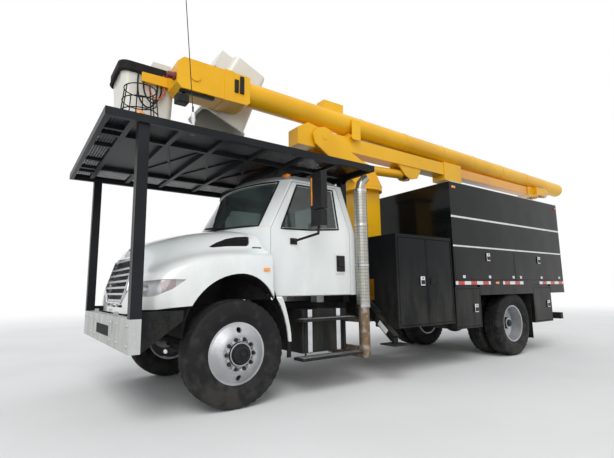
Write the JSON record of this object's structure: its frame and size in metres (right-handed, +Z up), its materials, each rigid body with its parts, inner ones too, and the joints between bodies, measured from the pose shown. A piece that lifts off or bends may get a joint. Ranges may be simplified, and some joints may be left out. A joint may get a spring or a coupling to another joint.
{
  "type": "bucket truck",
  "caption": "Forestry bucket truck: conventional cab under a canopy, chip body, lockers, outriggers and an articulated boom with tilting and fixed buckets.",
  "frame": {"origin": "on the ground, halfway along the whole length and on the centreline", "axes": "+X forward, +Y to the driver's left side, +Z up"},
  "size_m": [11.43, 2.85, 4.6419],
  "materials": {
    "white_paint": "gloss",
    "yellow_paint": "gloss",
    "black_paint": "satin",
    "gloss_black": "gloss",
    "grey_paint": "satin",
    "dark_steel": "rough",
    "tyre": "matte",
    "silver_rim": "satin",
    "tread_plate": "brushed",
    "galvanised": "satin",
    "glass": "clear",
    "lens": "gloss",
    "red_lens": "gloss",
    "amber_lens": "gloss",
    "grille_plastic": "satin",
    "mirror_shell": "satin",
    "interior": "matte",
    "flap_rubber": "matte",
    "insert_grp": "satin",
    "bucket_grp": "satin",
    "machined_steel": "satin"
  },
  "bodies": {
    "chassis": {"frame": "black_paint", "axles": "dark_steel", "drivetrain": "dark_steel", "bumper": "grey_paint", "corner_steps": "black_paint", "canopy_frame": "black_paint", "beacon_guard": "amber_lens", "cab_shell": "white_paint", "cab_glass": "glass", "cab_interior": "interior", "exhaust_stack": "galvanised", "side_steps": "black_paint", "pedestal": "yellow_paint", "cabinets": "black_paint", "chip_body": "gloss_black", "under_boxes": "gloss_black", "rear_bumper": "black_paint", "mud_flaps": "flap_rubber", "tail_lamps": "red_lens"},
    "hood_assembly": {"hood": "white_paint", "headlights": "lens", "grille": "grille_plastic"},
    "tailgate_body": {"tailgate": "gloss_black"},
    "turntable": {"turret": "yellow_paint"},
    "lower_arm": {"lower_boom": "yellow_paint", "boom_insert": "insert_grp"},
    "elbow_body": {"elbow": "machined_steel"},
    "upper_arm": {"upper_boom": "yellow_paint"},
    "bucket_carrier": {"platform": "yellow_paint", "front_bucket": "bucket_grp"},
    "tilting_bucket": {"rear_bucket": "bucket_grp"},
    "lift_barrel_body": {"lift_barrel": "yellow_paint"},
    "lift_rod_body": {"lift_rod": "machined_steel"},
    "knuckle_body_left": {"knuckle_left": "dark_steel"},
    "front_wheel_body_left": {"front_wheel_left": "silver_rim", "front_tyre_left": "tyre"},
    "rear_wheel_body_left": {"rear_wheels_left": "silver_rim", "rear_tyres_left": "tyre"},
    "cab_door_left": {"door_left": "white_paint", "door_glass_left": "glass", "mirror_left": "mirror_shell"},
    "outrigger_body_left": {"outrigger_left": "black_paint"},
    "cabinet_door_front_left_body": {"cabinet_door_front_left": "black_paint"},
    "cabinet_door_rear_left_body": {"cabinet_door_rear_left": "black_paint"},
    "knuckle_body_right": {"knuckle_right": "dark_steel"},
    "front_wheel_body_right": {"front_wheel_right": "silver_rim", "front_tyre_right": "tyre"},
    "rear_wheel_body_right": {"rear_wheels_right": "silver_rim", "rear_tyres_right": "tyre"},
    "cab_door_right": {"door_right": "white_paint", "door_glass_right": "glass", "mirror_right": "mirror_shell"},
    "outrigger_body_right": {"outrigger_right": "black_paint"},
    "cabinet_door_front_right_body": {"cabinet_door_front_right": "black_paint"},
    "cabinet_door_rear_right_body": {"cabinet_door_rear_right": "black_paint"},
    "side_locker_door_front_body": {"side_locker_door_front": "gloss_black"},
    "side_locker_door_rear_body": {"side_locker_door_rear": "gloss_black"},
    "under_box_door_front_body": {"under_box_door_front": "gloss_black"},
    "under_box_door_rear_body": {"under_box_door_rear": "gloss_black"}
  },
  "joints": [
    {"name": "steering_left", "type": "hinge", "parent": "chassis", "child": "knuckle_body_left", "pos_m": [4.405, 0.87, 0.522], "axis": [0, 0, 1], "range_deg": [-40, 40]},
    {"name": "front_wheel_spin_left", "type": "hinge", "parent": "knuckle_body_left", "child": "front_wheel_body_left", "pos_m": [4.405, 1.016, 0.522], "axis": [0, 1, 0], "continuous": true},
    {"name": "rear_wheel_spin_left", "type": "hinge", "parent": "chassis", "child": "rear_wheel_body_left", "pos_m": [-0.695, 0.883, 0.522], "axis": [0, 1, 0], "continuous": true},
    {"name": "cab_door_swing_left", "type": "hinge", "parent": "chassis", "child": "cab_door_left", "pos_m": [3.956, 1.01, 1.5], "axis": [0, 0, -1], "range_deg": [0, 70]},
    {"name": "outrigger_slide_left", "type": "slide", "parent": "chassis", "child": "outrigger_body_left", "axis": [0, 0.766, -0.6428], "range_m": [0, 0.58]},
    {"name": "cabinet_door_swing_front_left", "type": "hinge", "parent": "chassis", "child": "cabinet_door_front_left_body", "pos_m": [2.14, 1.22, 1.225], "axis": [0, 0, -1], "range_deg": [0, 90]},
    {"name": "cabinet_door_swing_rear_left", "type": "hinge", "parent": "chassis", "child": "cabinet_door_rear_left_body", "pos_m": [1.03, 1.22, 1.225], "axis": [0, 0, 1], "range_deg": [0, 90]},
    {"name": "steering_right", "type": "hinge", "parent": "chassis", "child": "knuckle_body_right", "pos_m": [4.405, -0.87, 0.522], "axis": [0, 0, 1], "range_deg": [-40, 40]},
    {"name": "front_wheel_spin_right", "type": "hinge", "parent": "knuckle_body_right", "child": "front_wheel_body_right", "pos_m": [4.405, -1.016, 0.522], "axis": [0, 1, 0], "continuous": true},
    {"name": "rear_wheel_spin_right", "type": "hinge", "parent": "chassis", "child": "rear_wheel_body_right", "pos_m": [-0.695, -0.883, 0.522], "axis": [0, 1, 0], "continuous": true},
    {"name": "cab_door_swing_right", "type": "hinge", "parent": "chassis", "child": "cab_door_right", "pos_m": [3.956, -1.01, 1.5], "axis": [0, 0, 1], "range_deg": [0, 70]},
    {"name": "outrigger_slide_right", "type": "slide", "parent": "chassis", "child": "outrigger_body_right", "axis": [0, -0.766, -0.6428], "range_m": [0, 0.58]},
    {"name": "cabinet_door_swing_front_right", "type": "hinge", "parent": "chassis", "child": "cabinet_door_front_right_body", "pos_m": [2.14, -1.22, 1.225], "axis": [0, 0, 1], "range_deg": [0, 90]},
    {"name": "cabinet_door_swing_rear_right", "type": "hinge", "parent": "chassis", "child": "cabinet_door_rear_right_body", "pos_m": [1.03, -1.22, 1.225], "axis": [0, 0, -1], "range_deg": [0, 90]},
    {"name": "side_locker_swing_front", "type": "hinge", "parent": "chassis", "child": "side_locker_door_front_body", "pos_m": [0.082, 1.22, 1.25], "axis": [-1, 0, 0], "range_deg": [0, 90]},
    {"name": "side_locker_swing_rear", "type": "hinge", "parent": "chassis", "child": "side_locker_door_rear_body", "pos_m": [-1.656, 1.22, 1.25], "axis": [-1, 0, 0], "range_deg": [0, 90]},
    {"name": "under_box_swing_front", "type": "hinge", "parent": "chassis", "child": "under_box_door_front_body", "pos_m": [0.938, 1.22, 0.83], "axis": [0, 0, -1], "range_deg": [0, 90]},
    {"name": "under_box_swing_rear", "type": "hinge", "parent": "chassis", "child": "under_box_door_rear_body", "pos_m": [-1.357, 1.22, 0.83], "axis": [0, 0, -1], "range_deg": [0, 90]},
    {"name": "hood_tilt", "type": "hinge", "parent": "chassis", "child": "hood_assembly", "pos_m": [5.405, 0, 0.925], "axis": [0, 1, 0], "range_deg": [0, 65]},
    {"name": "tailgate_swing", "type": "hinge", "parent": "chassis", "child": "tailgate_body", "pos_m": [-2.585, -1.208, 1.95], "axis": [0, 0, 1], "range_deg": [0, 110]},
    {"name": "slew", "type": "hinge", "parent": "chassis", "child": "turntable", "pos_m": [1.61, 0, 2.776], "axis": [0, 0, 1], "continuous": true},
    {"name": "lower_boom_lift", "type": "hinge", "parent": "turntable", "child": "lower_arm", "pos_m": [2.505, 0, 3.44], "axis": [0, 1, 0], "range_deg": [0, 80]},
    {"name": "elbow_level", "type": "hinge", "parent": "lower_arm", "child": "elbow_body", "pos_m": [-4.495, 0, 3.44], "axis": [0, 1, 0], "range_deg": [-80, 0]},
    {"name": "upper_boom_lift", "type": "hinge", "parent": "elbow_body", "child": "upper_arm", "pos_m": [-4.495, 0, 3.44], "axis": [0, -1, 0], "range_deg": [0, 95]},
    {"name": "platform_level", "type": "hinge", "parent": "upper_arm", "child": "bucket_carrier", "pos_m": [4.555, 0, 3.8], "axis": [0, 1, 0], "range_deg": [0, 95]},
    {"name": "bucket_tilt", "type": "hinge", "parent": "bucket_carrier", "child": "tilting_bucket", "pos_m": [3.955, -0.24, 3.85], "axis": [0, -1, 0], "range_deg": [0, 156]},
    {"name": "barrel_swing", "type": "hinge", "parent": "turntable", "child": "lift_barrel_body", "pos_m": [2.105, 0, 3.1], "axis": [0, 1, 0], "range_deg": [0, 83.2]},
    {"name": "rod_stroke", "type": "slide", "parent": "lift_barrel_body", "child": "lift_rod_body", "axis": [-0.9985, 0, 0.0545], "range_m": [0, 0.658]}
  ],
  "couplings": [
    {"joint": "steering_right", "follows": "steering_left", "ratio": 1},
    {"joint": "elbow_level", "follows": "lower_boom_lift", "ratio": -1},
    {"joint": "platform_level", "follows": "upper_boom_lift", "ratio": 1},
    {"joint": "barrel_swing", "follows": "lower_boom_lift", "ratio": 1.04},
    {"joint": "rod_stroke", "follows": "lower_boom_lift", "m_per_rad": 0.4712}
  ]
}
